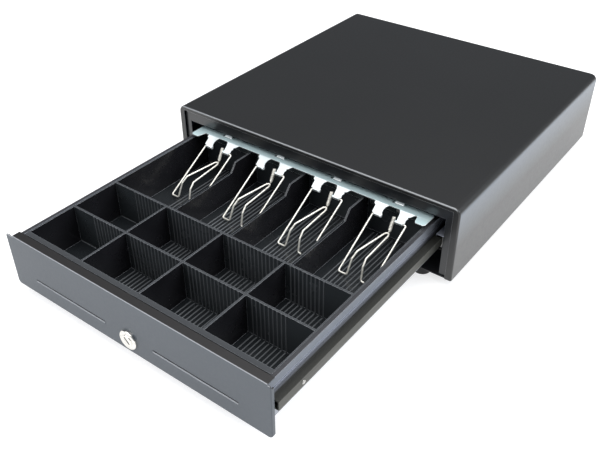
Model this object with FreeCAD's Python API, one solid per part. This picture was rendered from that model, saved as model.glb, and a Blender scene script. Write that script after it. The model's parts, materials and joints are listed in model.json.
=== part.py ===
"""Steel point-of-sale cash drawer, shown with the drawer run out on its ball slides.

Frame: millimetres, +Z up, +Y to the back. The origin is the centre of the four mounting
holes, in the plane of the housing's underside. The drawer opens towards -Y.
"""

import FreeCAD, Part
import math
import os

V = FreeCAD.Vector
X_AXIS = V(1, 0, 0)
Y_AXIS = V(0, 1, 0)
Z_AXIS = V(0, 0, 1)

# ---------------------------------------------------------------- driving dimensions
WIDTH = 410.0          # housing, side to side
DEPTH = 415.0          # housing, front to back
HEIGHT = 97.0          # housing, without its feet
SHEET = 1.2            # steel of the housing
BEND = 9.0             # outer radius of the cover's two long bends
RIM_SIDE = 7.0         # widths of the cover's front return
RIM_TOP = 4.0
RIM_BEND = 2.0         # outer radius where the cover folds into its return
FOOT_H = 10.0
FOOT_R = 12.0

OPENING_HALF = 188.0   # half width of the drawer opening
OPENING_TOP = 77.5
TRAVEL = 292.0         # drawer travel

PANEL_HALF = 181.5     # drawer front
PANEL_LOW = 3.2
PANEL_TOP = 72.6
PANEL_LIP = 4.2        # depth of the folded edge round the drawer front
PANEL_SHELF = 10.0     # depth of the top fold, which stops short of both ends
SHELF_LEFT = 170.0
SHELF_RIGHT = 178.0
RELIEF = 1.5           # how far the drawer front is cut down beside the top fold
LIP_TOP = 67.6         # top of the folded edge at the two ends
SLOT_Z = 25.0
SLOT_H = 2.2
SLOT_INNER = 34.0      # media slots run from here to SLOT_OUTER, both sides
SLOT_OUTER = 143.0

BOX_HALF = 171.5       # drawer box, outer
BOX_SHEET = 1.0
BOX_LOW = 13.0
BOX_TOP = 67.0
BOX_END = 362.0        # back face of the box, behind the drawer front
HEM = 2.9              # outward fold along the top of the box sides

PANEL_SCREW_X = (-155.0, -60.0, 60.0, 155.0)
PANEL_SCREW_Z = 58.0

LOCK_Z = 20.7
KEY_ANGLE = 45.0
BARREL_R = 9.5
CRANK = 14.0           # lock axis to lock rod

INSERT_HALF = 170.0
INSERT_WALL = 1.7
INSERT_FRONT = 15.0    # all insert stations are measured back from the drawer front
INSERT_END = 304.0
INSERT_TOP = 66.5
INSERT_RIM = 6.0       # thickness of the front rim
FLOOR_Z = 18.5         # top of the insert's floor
FLOOR_T = 1.8
DIVIDER = 2.4
COIN_WALL = 82.0       # wall between the two rows of coin cups
BILL_WALL = 144.0      # wall between coin cups and bill bays
BILL_DIVIDER_TOP = 55.0
STEP_START = 254.0     # bill dividers climb from here to STEP_END
STEP_END = 264.0
COLUMNS = 4

SLIDE_Z = 42.2         # mid height of the ball slides
SLIDE_INNER_H = 5.5    # half heights
SLIDE_OUTER_H = 9.5
SLIDE_CROWN = 183.8    # outer face of the drawer member
SLIDE_BACK = 188.0     # back of the cabinet member
BALL_R = 1.4
BALL_Z = 7.0           # ball rows above and below mid height
BALL_X = 180.6
CAGE_LENGTH = 75.0
BALLS_PER_ROW = 8

BAR_TOP = 72.0         # clip bar
BAR_T = 1.2
BAR_FRONT = 286.5      # front edge of the bar's flat top, behind the drawer front
BAR_BACK = 301.6
BAR_SCREW_Z = 61.0
AXLE_B = 277.5         # clip pivot
AXLE_Z = 62.3
WIRE_R = 1.0
CLIP_HALF = 20.0
CLIP_LEG = 23.0        # the clip's open leg stands a little wider
HOOK_B = 210.0
HOOK_Z = 22.3

PIVOT_D = 400.0        # latch pivot, behind the housing front
PIVOT_Z = 30.0
RELEASE = 14.0         # degrees between latched and released
STRIKE_D = 374.0       # striker pin when the drawer is shut
STRIKE_Z = 24.0
LINK_ARM = 16.0        # latch pivot to plunger pin
SIDE_PLATE = 17.0      # half gap between the latch bracket's plates
LEVER_D = 393.2        # microswitch lever pivot
LEVER_Z = 19.6
PUSHER_X = 70.0
PUSHER_Z = 35.0
SOCKET_X = -120.0
SOCKET_Z = 30.0
HOLE_X = 150.0         # half spacings of the mounting holes
HOLE_Y = 147.5
HOLE_R = 2.75

FRONT = -DEPTH / 2
DRAWER = FRONT - TRAVEL          # face of the drawer front, drawer out
INSIDE = WIDTH / 2 - SHEET       # inner face of the cover's sides
CAGE_START = FRONT + 8
PLUNGER_LIFT = LINK_ARM * math.sin(math.radians(RELEASE))
PLUNGER_Y = FRONT + PIVOT_D - LINK_ARM


# ---------------------------------------------------------------- helpers
def box(x0, x1, y0, y1, z0, z1):
    """Box between two corners, given in any order."""
    low = V(min(x0, x1), min(y0, y1), min(z0, z1))
    return Part.makeBox(abs(x1 - x0), abs(y1 - y0), abs(z1 - z0), low)


def rod(x, y, z, radius, length, axis):
    """Cylinder that starts at a point and runs along axis."""
    return Part.makeCylinder(radius, length, V(x, y, z), axis)


def tube(x, y, z, outer, inner, length, axis):
    return rod(x, y, z, outer, length, axis).cut(rod(x, y, z, inner, length, axis))


def fuse(shapes):
    joined = shapes[0]
    if len(shapes) > 1:
        joined = shapes[0].multiFuse(shapes[1:])
    return joined.removeSplitter()


def cut(shape, tools):
    return shape.cut(tools[0] if len(tools) == 1 else Part.makeCompound(tools))


def mirror(shape):
    """The same piece on the other side of the drawer."""
    return shape.mirror(V(0, 0, 0), X_AXIS)


def prism_y(points, y0, y1):
    """Polygon given as (x, z), extruded along Y."""
    corners = [V(x, y0, z) for x, z in points]
    face = Part.Face(Part.makePolygon(corners + corners[:1]))
    return face.extrude(V(0, y1 - y0, 0))


def prism_x(points, x0, x1):
    """Polygon given as (y, z), extruded along X."""
    corners = [V(x0, y, z) for y, z in points]
    face = Part.Face(Part.makePolygon(corners + corners[:1]))
    return face.extrude(V(x1 - x0, 0, 0))


def housing_block(inset, y0, y1, z_low=0.0):
    """Solid with the housing's section: square below, rounded along both top edges."""
    half = WIDTH / 2 - inset
    top = HEIGHT - inset
    radius = BEND - inset
    slant = radius * math.sqrt(0.5)
    a, b = V(-half, y0, z_low), V(-half, y0, top - radius)
    c, d = V(-half + radius, y0, top), V(half - radius, y0, top)
    e, f = V(half, y0, top - radius), V(half, y0, z_low)
    left = V(-half + radius - slant, y0, top - radius + slant)
    right = V(half - radius + slant, y0, top - radius + slant)
    edges = [
        Part.makeLine(a, b),
        Part.Arc(b, left, c).toShape(),
        Part.makeLine(c, d),
        Part.Arc(d, right, e).toShape(),
        Part.makeLine(e, f),
        Part.makeLine(f, a),
    ]
    return Part.Face(Part.Wire(edges)).extrude(V(0, y1 - y0, 0))


def is_corner(edge, z):
    """True for an edge that runs along Y at height z."""
    a, b = edge.Vertexes[0].Point, edge.Vertexes[-1].Point
    along_y = abs(a.x - b.x) < 1e-6 and abs(a.z - b.z) < 1e-6
    return along_y and abs(a.z - z) < 1e-6


def runs_along_y(edge, x, z):
    """True for an edge that runs along Y at the given x and z."""
    return is_corner(edge, z) and abs(edge.CenterOfMass.x - x) < 1e-6


def rounded_plate(half, z0, z1, r_low, r_top, y0, y1):
    """Upright plate with rounded corners."""
    plate = box(-half, half, y0, y1, z0, z1)
    for z, radius in ((z0, r_low), (z1, r_top)):
        plate = plate.makeFillet(radius, [e for e in plate.Edges if is_corner(e, z)])
    return plate


def bent_path(points, radius):
    """Wire through the points with an arc of the given radius at each inner corner."""
    edges = []
    start = points[0]
    for before, corner, after in zip(points, points[1:], points[2:]):
        back = (before - corner).normalize()
        ahead = (after - corner).normalize()
        turn = math.pi - back.getAngle(ahead)
        reach = radius * math.tan(turn / 2)
        p0 = corner + back * reach
        p1 = corner + ahead * reach
        bisector = (back + ahead).normalize()
        middle = corner + bisector * (radius / math.cos(turn / 2) - radius)
        edges.append(Part.makeLine(start, p0))
        edges.append(Part.Arc(p0, middle, p1).toShape())
        start = p1
    edges.append(Part.makeLine(start, points[-1]))
    return Part.Wire(edges)


def wire_along(points, bend, radius):
    """Round wire along a bent path."""
    path = bent_path(points, bend)
    direction = points[1] - points[0]
    circle = Part.Wire(Part.makeCircle(radius, points[0], direction))
    return path.makePipeShell([circle], True, True)


def helix(x, y, z, radius, wire, length, turns, axis):
    """Open coil spring that starts at a point and runs along axis."""
    pitch = length / turns
    path = Part.makeHelix(pitch, length, radius)
    direction = V(0, 2 * math.pi * radius, pitch)
    circle = Part.Wire(Part.makeCircle(wire, V(radius, 0, 0), direction))
    coil = Part.Wire(path).makePipeShell([circle], True, True)
    coil.Placement = FreeCAD.Placement(V(x, y, z), FreeCAD.Rotation(Z_AXIS, axis))
    return coil


def screw(x, y, z, head_r, head_h, shank_r, shank_l, axis):
    """Pan-head screw: the head sits on the point, on the side away from axis."""
    head = Part.makeCylinder(head_r, head_h, V(x, y, z), axis.negative())
    rim = [e for e in head.Edges if abs(e.CenterOfMass.sub(V(x, y, z)).Length - head_h) < 1e-3]
    head = head.makeFillet(head_h * 0.45, [e for e in rim if e.Closed])
    shank = Part.makeCylinder(shank_r, shank_l, V(x, y, z), axis)
    top = V(x, y, z) + axis.negative() * head_h
    slot_l, slot_w, slot_d = head_r * 1.2, head_r * 0.28, head_h * 0.5
    recess = Part.makeBox(slot_l, slot_w, slot_d, V(-slot_l / 2, -slot_w / 2, 0))
    recess = recess.fuse(Part.makeBox(slot_w, slot_l, slot_d, V(-slot_w / 2, -slot_l / 2, 0)))
    recess.Placement = FreeCAD.Placement(top, FreeCAD.Rotation(Z_AXIS, axis))
    return head.fuse(shank).cut(recess)


def turned(shape, y, z, degrees):
    """The shape turned nose-up about an axis along -X through (y, z)."""
    copy = shape.copy()
    copy.rotate(V(0, y, z), V(-1, 0, 0), degrees)
    return copy


# ---------------------------------------------------------------- housing
def housing_cover():
    """Top and sides in one sheet, folded in all round the front."""
    shell = cut(
        housing_block(0, FRONT, FRONT + DEPTH),
        [housing_block(SHEET, FRONT - 1, FRONT + DEPTH + 1, -1)],
    )
    half = WIDTH / 2 - SHEET - RIM_SIDE
    window = box(-half, half, FRONT - 1, FRONT + SHEET + 1, -1, HEIGHT - SHEET - RIM_TOP)
    ring = cut(housing_block(SHEET, FRONT, FRONT + SHEET), [window])
    cover = fuse([shell, ring])
    front = [e for e in cover.Edges if all(abs(v.Point.y - FRONT) < 1e-6 for v in e.Vertexes)]
    outer = [e for e in front if is_outer(e)]
    return cover.makeFillet(RIM_BEND, outer)


def is_outer(edge):
    """True for an edge on the outside of the cover's section, its open bottom left out."""
    middle = edge.CenterOfMass
    beside = abs(middle.x) > WIDTH / 2 - BEND / 2
    above = middle.z > HEIGHT - BEND / 2
    return (beside or above) and middle.z > SHEET


def mounting_holes():
    return [
        rod(sx * HOLE_X, sy * HOLE_Y, -1, HOLE_R, 4, Z_AXIS)
        for sx in (-1, 1)
        for sy in (-1, 1)
    ]


def foot_centres():
    x, inset = 162.0, 12.5
    return [(sx * x, sy * (DEPTH / 2 - inset)) for sx in (-1, 1) for sy in (-1, 1)]


def base_pan():
    """Floor of the housing with a turned-up flange along each side."""
    flange_top = 14.0
    end = FRONT + DEPTH - SHEET
    start = FRONT + SHEET
    floor = box(-INSIDE, INSIDE, start, end, 0, SHEET)
    flanges = [
        box(s * INSIDE, s * (INSIDE - SHEET), start + 6, end, 0, flange_top) for s in (-1, 1)
    ]
    holes = mounting_holes()
    holes += [rod(x, y, -1, 2.1, 4, Z_AXIS) for x, y in foot_centres()]
    return cut(fuse([floor] + flanges), holes)


def front_frame():
    """Plate behind the cover's front return, with the drawer opening."""
    recess = 3.0
    y0 = FRONT + recess
    plate = housing_block(SHEET + 0.1, y0, y0 + SHEET, SHEET)
    opening = box(-OPENING_HALF, OPENING_HALF, y0 - 1, y0 + SHEET + 1, 0, OPENING_TOP)
    fold = box(
        -OPENING_HALF, OPENING_HALF, y0, y0 + 10, OPENING_TOP, OPENING_TOP + SHEET
    )
    return fuse([cut(plate, [opening]), fold])


def rear_panel():
    """Back of the housing, with the socket's cut-out and a row of screws."""
    end = FRONT + DEPTH
    plate = housing_block(SHEET + 0.05, end - SHEET, end, 0)
    cutout = box(SOCKET_X - 8, SOCKET_X + 8, end - 3, end + 1, SOCKET_Z - 8, SOCKET_Z + 8)
    holes = [rod(x, end - 3, z, 1.6, 5, Y_AXIS) for x, z in rear_screw_points()]
    return cut(plate, [cutout] + holes)


def rear_screw_points():
    return [(-190, 60), (190, 60), (-110, 88), (110, 88), (-150, 7), (150, 7)]


def rear_screws():
    end = FRONT + DEPTH
    back = Y_AXIS.negative()
    return Part.makeCompound(
        [screw(x, end, z, 3.2, 1.6, 1.5, 6, back) for x, z in rear_screw_points()]
    )


def rubber_feet():
    """Four tapered feet, each with a recess for its screw."""
    feet = []
    for x, y in foot_centres():
        foot = Part.makeCone(FOOT_R - 1.5, FOOT_R, FOOT_H, V(x, y, -FOOT_H), Z_AXIS)
        foot = cut(
            foot,
            [
                rod(x, y, -FOOT_H - 1, 5.0, 5.0, Z_AXIS),
                rod(x, y, -FOOT_H - 1, 2.1, FOOT_H + 2, Z_AXIS),
            ],
        )
        feet.append(foot)
    return Part.makeCompound(feet)


def foot_screws():
    seat = -FOOT_H + 4.0
    return Part.makeCompound(
        [screw(x, y, seat, 4.2, 2.0, 1.95, 7.5, Z_AXIS) for x, y in foot_centres()]
    )


def slide_bracket():
    """Z-section rail that carries the right-hand slide inside the housing."""
    y0, y1 = FRONT + 4.4, FRONT + 395
    top = 56.0
    web = box(SLIDE_BACK, SLIDE_BACK + SHEET, y0, y1, SHEET, top)
    foot = box(SLIDE_BACK, 202.4, y0, y1, SHEET, 2 * SHEET)
    shelf = box(SLIDE_BACK, 203.6, y0, y1, top - SHEET, top)
    return fuse([web, foot, shelf])


# ---------------------------------------------------------------- slides
def slide_outer():
    """Cabinet member: a C channel that opens towards the drawer."""
    y0, y1 = FRONT + 6, FRONT + 392
    lip = 177.6
    skin = 1.0
    h = SLIDE_OUTER_H
    outline = [
        (SLIDE_BACK, -h),
        (lip, -h),
        (lip, -6.2),
        (lip + skin, -6.2),
        (lip + skin, -h + skin),
        (SLIDE_BACK - skin, -h + skin),
        (SLIDE_BACK - skin, h - skin),
        (lip + skin, h - skin),
        (lip + skin, 6.2),
        (lip, 6.2),
        (lip, h),
        (SLIDE_BACK, h),
    ]
    return prism_y([(x, SLIDE_Z + z) for x, z in outline], y0, y1)


def slide_inner():
    """Drawer member: a hat section riveted to the drawer's side."""
    y0, y1 = DRAWER + 7, DRAWER + 382
    skin = 1.2
    h, foot = SLIDE_INNER_H, SLIDE_OUTER_H
    wall = BOX_HALF
    outline = [
        (wall, -foot),
        (wall + skin, -foot),
        (wall + skin, -h),
        (SLIDE_CROWN, -h),
        (SLIDE_CROWN, h),
        (wall + skin, h),
        (wall + skin, foot),
        (wall, foot),
        (wall, h - skin),
        (SLIDE_CROWN - skin, h - skin),
        (SLIDE_CROWN - skin, -h + skin),
        (wall, -h + skin),
    ]
    body = prism_y([(x, SLIDE_Z + z) for x, z in outline], y0, y1)
    raceway = 3.6
    for x, height, radius in ((wall + skin, h, raceway), (wall, h - skin, raceway + skin)):
        roots = [e for e in body.Edges for s in (-1, 1) if runs_along_y(e, x, SLIDE_Z + s * height)]
        body = body.makeFillet(radius, roots)
    rivet = rod(SLIDE_CROWN - 0.1, DRAWER + 43, SLIDE_Z - 0.3, 2.2, 0.8, X_AXIS)
    return fuse([body, rivet])


def ball_points():
    step = CAGE_LENGTH / BALLS_PER_ROW
    return [
        (BALL_X, CAGE_START + step * (i + 0.5), SLIDE_Z + s * BALL_Z)
        for s in (-1, 1)
        for i in range(BALLS_PER_ROW)
    ]


def ball_cage():
    """Thin channel between the two slide members that spaces the balls."""
    y0, y1 = CAGE_START, CAGE_START + CAGE_LENGTH
    half = 0.3
    web = box(184.6, 185.2, y0, y1, SLIDE_Z - BALL_Z - half, SLIDE_Z + BALL_Z + half)
    arms = [
        box(179.0, 185.2, y0, y1, SLIDE_Z + s * BALL_Z - half, SLIDE_Z + s * BALL_Z + half)
        for s in (-1, 1)
    ]
    pockets = [rod(x, y, z - 1, BALL_R + 0.1, 2, Z_AXIS) for x, y, z in ball_points()]
    return cut(fuse([web] + arms), pockets)


def slide_balls():
    return Part.makeCompound(
        [Part.makeSphere(BALL_R, V(x, y, z)) for x, y, z in ball_points()]
    )


# ---------------------------------------------------------------- drawer
def media_slots(y0, y1):
    half = SLOT_H / 2
    return [
        box(s * SLOT_INNER, s * SLOT_OUTER, y0, y1, SLOT_Z - half, SLOT_Z + half)
        for s in (-1, 1)
    ]


def front_panel():
    """Drawer front: a shallow folded pan, cut down at both ends of its deeper top fold."""
    corner_low, corner_top = 5.0, 2.5
    top = PANEL_TOP - RELIEF
    outer = rounded_plate(
        PANEL_HALF, PANEL_LOW, top, corner_low, corner_top, DRAWER, DRAWER + PANEL_LIP
    )
    inner = rounded_plate(
        PANEL_HALF - SHEET,
        PANEL_LOW + SHEET,
        top + 2 * corner_top,
        corner_low - SHEET,
        corner_top - SHEET,
        DRAWER + SHEET,
        DRAWER + PANEL_LIP + 1,
    )
    above_lips = box(
        -WIDTH / 2, WIDTH / 2, DRAWER + SHEET, DRAWER + PANEL_LIP + 1, LIP_TOP, PANEL_TOP
    )
    raised = box(-SHELF_LEFT, SHELF_RIGHT, DRAWER, DRAWER + SHEET, top - 1, PANEL_TOP)
    shelf = box(
        -SHELF_LEFT, SHELF_RIGHT, DRAWER, DRAWER + PANEL_SHELF, PANEL_TOP - SHEET, PANEL_TOP
    )
    pan = fuse([cut(outer, [inner, above_lips]), raised, shelf])
    front_edges = [
        e for e in pan.Edges if all(abs(v.Point.y - DRAWER) < 1e-6 for v in e.Vertexes)
    ]
    pan = pan.makeFillet(1.1, front_edges)
    lock_hole = rod(0, DRAWER - 1, LOCK_Z, BARREL_R + 0.1, 4, Y_AXIS)
    return cut(pan, media_slots(DRAWER - 1, DRAWER + SHEET + 1) + [lock_hole])


def drawer_box():
    """Open steel box behind the drawer front, with hemmed sides."""
    y0, y1 = DRAWER + SHEET, DRAWER + BOX_END
    t = BOX_SHEET
    floor = box(-BOX_HALF, BOX_HALF, y0, y1, BOX_LOW, BOX_LOW + t)
    sides = [box(s * BOX_HALF, s * (BOX_HALF - t), y0, y1, BOX_LOW, BOX_TOP) for s in (-1, 1)]
    hems = [
        box(s * BOX_HALF, s * (BOX_HALF + HEM), y0 + 5, y1, BOX_TOP - t, BOX_TOP)
        for s in (-1, 1)
    ]
    front = box(-BOX_HALF, BOX_HALF, y0, y0 + t, BOX_LOW, BOX_TOP - 1)
    back = box(-BOX_HALF, BOX_HALF, y1 - t, y1, BOX_LOW, BOX_TOP - 8)
    lock_hole = rod(0, y0 - 1, LOCK_Z, BARREL_R + 0.1, 4, Y_AXIS)
    lock_bay = box(-17, 17, y0 + t, y0 + 13.8, BOX_LOW - 1, BOX_LOW + t + 1)
    slots = media_slots(y0 - 1, y0 + t + 1)
    screw_holes = [rod(x, y0 - 1, PANEL_SCREW_Z, 1.45, 4, Y_AXIS) for x in PANEL_SCREW_X]
    cutters = [lock_hole, lock_bay] + slots + screw_holes
    return cut(fuse([floor, front, back] + sides + hems), cutters)


def media_guide():
    """Two sloping lips that send paper from the slots down under the insert."""
    y0 = DRAWER + SHEET + BOX_SHEET
    section = [(0, 30), (0, 29), (11.5, 18.2), (11.5, 19.4), (1.2, 29.6), (1.2, 34), (0, 34)]
    points = [(y0 + y, z) for y, z in section]
    lips = [
        prism_x(points, s * (SLOT_INNER - 4), s * (SLOT_OUTER + 4)) for s in (-1, 1)
    ]
    return Part.makeCompound(lips)


def insert_stop():
    """Angle across the drawer floor that keeps the insert forward."""
    y0 = DRAWER + INSERT_END + 0.5
    low = BOX_LOW + BOX_SHEET
    upright = box(-60, 60, y0, y0 + 1, low, low + 26)
    foot = box(-60, 60, y0, y0 + 12, low, low + 1)
    return fuse([upright, foot])


def rod_guide():
    """Hanger under the drawer floor whose window keeps the lock rod in its arc."""
    y0 = DRAWER + 330
    plate = box(-17, 17, y0, y0 + 1.5, 3.0, BOX_LOW)
    window = box(-13.5, 13.5, y0 - 1, y0 + 3, 4.2, BOX_LOW + 1)
    flange = box(-17, -13.5, y0, y0 + 8, BOX_LOW - 1.2, BOX_LOW)
    return fuse([cut(plate, [window]), flange, mirror(flange)])


def panel_screws():
    """Screws that hold the drawer front to the box."""
    y = DRAWER + SHEET + BOX_SHEET
    forward = Y_AXIS.negative()
    return Part.makeCompound(
        [screw(x, y, PANEL_SCREW_Z, 3.0, 1.6, 1.4, 0.9, forward) for x in PANEL_SCREW_X]
    )


# ---------------------------------------------------------------- lock
def lock_barrel():
    """Lock body with its round bezel on the drawer front."""
    bezel = rod(0, DRAWER - 2.6, LOCK_Z, 11.5, 2.6, Y_AXIS)
    rim = [e for e in bezel.Edges if e.Closed and abs(e.CenterOfMass.y - DRAWER + 2.6) < 1e-3]
    bezel = bezel.makeFillet(1.2, rim)
    body = rod(0, DRAWER, LOCK_Z, BARREL_R, 12.3, Y_AXIS)
    bore = rod(0, DRAWER - 4, LOCK_Z, 7.05, 20, Y_AXIS)
    return cut(fuse([bezel, body]), [bore])


def lock_nut():
    """Hexagon nut that clamps the lock to the drawer's front wall."""
    y0 = DRAWER + SHEET + BOX_SHEET
    across = 12.0
    corners = [
        (
            across * math.cos(math.radians(60 * i + 30)),
            LOCK_Z + across * math.sin(math.radians(60 * i + 30)),
        )
        for i in range(6)
    ]
    return prism_y(corners, y0, y0 + 3).cut(rod(0, y0 - 1, LOCK_Z, BARREL_R, 6, Y_AXIS))


def lock_plug():
    """Keyed plug that turns in the barrel."""
    plug = rod(0, DRAWER - 3.2, LOCK_Z, 7.0, 15.9, Y_AXIS)
    rim = [e for e in plug.Edges if e.Closed and abs(e.CenterOfMass.y - DRAWER + 3.2) < 1e-3]
    plug = plug.makeChamfer(0.5, rim)
    keyway = box(-4.6, 4.6, DRAWER - 4, DRAWER + 8, LOCK_Z - 0.9, LOCK_Z + 0.9)
    keyway.rotate(V(0, 0, LOCK_Z), Y_AXIS, KEY_ANGLE)
    return cut(plug, [keyway])


def lock_crank():
    """Arm on the back of the plug."""
    y0 = DRAWER + 12.7
    hub = rod(0, y0, LOCK_Z, 5.0, 1.5, Y_AXIS)
    arm = box(-3, 3, y0, y0 + 1.5, LOCK_Z - CRANK, LOCK_Z)
    tip = rod(0, y0, LOCK_Z - CRANK, 3.0, 1.5, Y_AXIS)
    return fuse([hub, arm, tip])


def lock_rod():
    """Rod from the crank to the latch, under the drawer floor."""
    y_end = DRAWER + 366.2
    z = LOCK_Z - CRANK
    route = [V(0, DRAWER + 14.2, z), V(0, y_end, z), V(0, y_end, z + 5.5)]
    return wire_along(route, 2.2, 1.75)


# ---------------------------------------------------------------- insert and clips
def column_edges():
    """Left and right faces of each column of cups or bays."""
    half = INSERT_HALF - INSERT_WALL
    pitch = (2 * half + DIVIDER) / COLUMNS
    return [(-half + i * pitch, -half + (i + 1) * pitch - DIVIDER) for i in range(COLUMNS)]


def till_insert():
    """Moulded insert: two rows of coin cups in front of the bill bays."""
    y0, y1 = DRAWER + INSERT_FRONT, DRAWER + INSERT_END
    block = box(-INSERT_HALF, INSERT_HALF, y0, y1, FLOOR_Z - FLOOR_T, INSERT_TOP)
    rows = [
        (INSERT_FRONT + INSERT_RIM, COIN_WALL - DIVIDER / 2),
        (COIN_WALL + DIVIDER / 2, BILL_WALL - DIVIDER / 2),
        (BILL_WALL + DIVIDER / 2, INSERT_END - DIVIDER),
    ]
    pockets = [
        box(x0, x1, DRAWER + b0, DRAWER + b1, FLOOR_Z, INSERT_TOP + 1)
        for b0, b1 in rows
        for x0, x1 in column_edges()
    ]
    notch = [
        (DRAWER + BILL_WALL + DIVIDER / 2, BILL_DIVIDER_TOP),
        (DRAWER + STEP_START, BILL_DIVIDER_TOP),
        (DRAWER + STEP_END, INSERT_TOP + 1),
        (DRAWER + BILL_WALL + DIVIDER / 2, INSERT_TOP + 1),
    ]
    low_dividers = [
        prism_x(notch, right - 0.5, right + DIVIDER + 0.5)
        for left, right in column_edges()[:-1]
    ]
    rim_back = box(-160, 160, y0 - 1, y0 + 3.5, FLOOR_Z - 3, INSERT_TOP - 4)
    screw_holes = [
        rod(x, DRAWER + BAR_BACK - 1, BAR_SCREW_Z, 1.25, 4, Y_AXIS) for x in clip_centres()
    ]
    return cut(block, pockets + low_dividers + [rim_back] + screw_holes)


def clip_centres():
    return [(left + right) / 2 for left, right in column_edges()]


def clip_bar():
    """Zinc-plated bar along the insert's back wall, with two sloping plates for each clip."""
    y_back = DRAWER + BAR_BACK
    y_front = DRAWER + BAR_FRONT
    axle_y = DRAWER + AXLE_B
    low = BAR_TOP - BAR_T
    half = 172.0
    pieces = [box(-half, half, y_front, y_back, low, BAR_TOP)]
    for side in (-1, 1):
        pieces.append(box(side * (half - 14), side * half, axle_y - 1, y_front, low, BAR_TOP))
    curl = 2.2
    plate = [
        (y_front, BAR_TOP),
        (axle_y - 1.5, AXLE_Z + 1.6),
        (axle_y + 1.5, AXLE_Z - 1.6),
        (y_front + 1.2, low),
        (y_front + 2, BAR_TOP),
    ]
    bores = []
    for (left, right), centre in zip(column_edges(), clip_centres()):
        for x0, x1 in ((centre - 18.5, centre - 9), (centre + 9, centre + 18.5)):
            pieces.append(prism_x(plate, x0, x1))
            pieces.append(rod(x0, axle_y, AXLE_Z, curl, x1 - x0, X_AXIS))
            bores.append(rod(x0 - 1, axle_y, AXLE_Z, WIRE_R + 0.1, x1 - x0 + 2, X_AXIS))
        apron = box(left + 1, right - 1, y_back - BAR_T, y_back, BAR_SCREW_Z - 5, BAR_TOP)
        ear = box(centre - 3, centre + 8, y_back - 5, y_back - 5 + BAR_T, low, BAR_TOP + 2.5)
        pieces += [apron, ear]
        bores.append(rod(centre - 6, y_back - 5, low - 1, 1.5, 4, Z_AXIS))
        bores.append(rod(centre, y_back - 3, BAR_SCREW_Z, 1.25, 6, Y_AXIS))
    return cut(fuse(pieces), bores)


def bar_screws():
    """One screw per bay through the bar's apron into the insert's back wall."""
    y = DRAWER + BAR_BACK - BAR_T
    return Part.makeCompound(
        [screw(x, y, BAR_SCREW_Z, 2.6, 1.4, 1.2, 3.5, Y_AXIS) for x in clip_centres()]
    )


def bill_clip(centre):
    """Sprung wire clip: a hooked loop on one side, an open leg on the other, and a stem."""

    def at(x, b, z):
        return V(centre + x, DRAWER + b, z)

    arm = at(0, HOOK_B, HOOK_Z) - at(0, AXLE_B, AXLE_Z)
    open_end = at(CLIP_LEG, AXLE_B, AXLE_Z) + arm * 0.74
    apex = at(5.5, 271.5, 48.6)
    outer = [
        open_end,
        at(CLIP_LEG, AXLE_B, AXLE_Z),
        at(-CLIP_HALF, AXLE_B, AXLE_Z),
        at(-CLIP_HALF, HOOK_B, HOOK_Z),
        at(-9, HOOK_B, HOOK_Z),
        at(-8, 218, 40),
        at(-6.5, 226, 46),
        apex + V(-3.2, -3, 0),
        apex,
        apex + V(2.2, -5, -0.5),
        at(7, 223, 44),
        at(8, 215.5, 38),
        at(9.5, HOOK_B, HOOK_Z),
        at(14, HOOK_B - 0.5, HOOK_Z),
    ]
    wire = wire_along(outer, 1.6, WIRE_R)
    foot = apex + V(0, 0.4, 0.4)
    top = at(5.5, AXLE_B, AXLE_Z)
    stem = Part.makeCylinder(1.7, (top - foot).Length, foot, top - foot)
    return fuse([wire, stem])


# ---------------------------------------------------------------- latch, solenoid, switch
def latch_bracket():
    """Base and two side plates that carry the latch and the solenoid."""
    y0, y1 = FRONT + 370, FRONT + 411
    t = 1.5
    base = box(-40, 40, y0, y1, SHEET, SHEET + t)
    plates = [
        box(s * SIDE_PLATE, s * (SIDE_PLATE + t), y0 + 3, y1 - 2, SHEET, 88) for s in (-1, 1)
    ]
    post = box(-3.2, 3.2, FRONT + 397, FRONT + 410, SHEET, 8)
    bore = rod(-30, FRONT + PIVOT_D, PIVOT_Z, 2.0, 60, X_AXIS)
    return cut(fuse([base, post] + plates), [bore])


def latch_pin():
    pin = rod(-SIDE_PLATE - 1.5, FRONT + PIVOT_D, PIVOT_Z, 2.0, 2 * SIDE_PLATE + 3, X_AXIS)
    head = rod(SIDE_PLATE + 1.5, FRONT + PIVOT_D, PIVOT_Z, 3.4, 1.2, X_AXIS)
    return fuse([pin, head])


def latch_spacers():
    """Sleeves that centre the latch on its pin."""
    length = SIDE_PLATE - 3.3
    right = tube(3.1, FRONT + PIVOT_D, PIVOT_Z, 3.2, 2.05, length, X_AXIS)
    return Part.makeCompound([right, mirror(right)])


def latch_hook():
    """Hook that drops in front of the striker pin; released, it is turned nose-up."""
    half = 2.5
    y = FRONT + PIVOT_D
    outline = [
        (y - 33.5, 38.0),
        (y + 10, 34.0),
        (y + 10, 27.0),
        (y - 5, 25.5),
        (y - 22.0, 29.5),
        (y - 29.0, 29.5),
        (y - 29.0, 20.0),
        (y - 31.0, 20.0),
        (y - 33.5, 24.0),
    ]
    plate = prism_x(outline, -half, half)
    pivot_hole = rod(-5, y, PIVOT_Z, 2.05, 10, X_AXIS)
    link_slot = fuse(
        [
            box(-5, 5, y - LINK_ARM - 1.0, y - LINK_ARM + 1.0, PIVOT_Z + 3 - 1.8, PIVOT_Z + 3 + 1.8),
            rod(-5, y - LINK_ARM - 1.0, PIVOT_Z + 3, 1.8, 10, X_AXIS),
            rod(-5, y - LINK_ARM + 1.0, PIVOT_Z + 3, 1.8, 10, X_AXIS),
        ]
    )
    return turned(cut(plate, [pivot_hole, link_slot]), y, PIVOT_Z, RELEASE)


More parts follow.
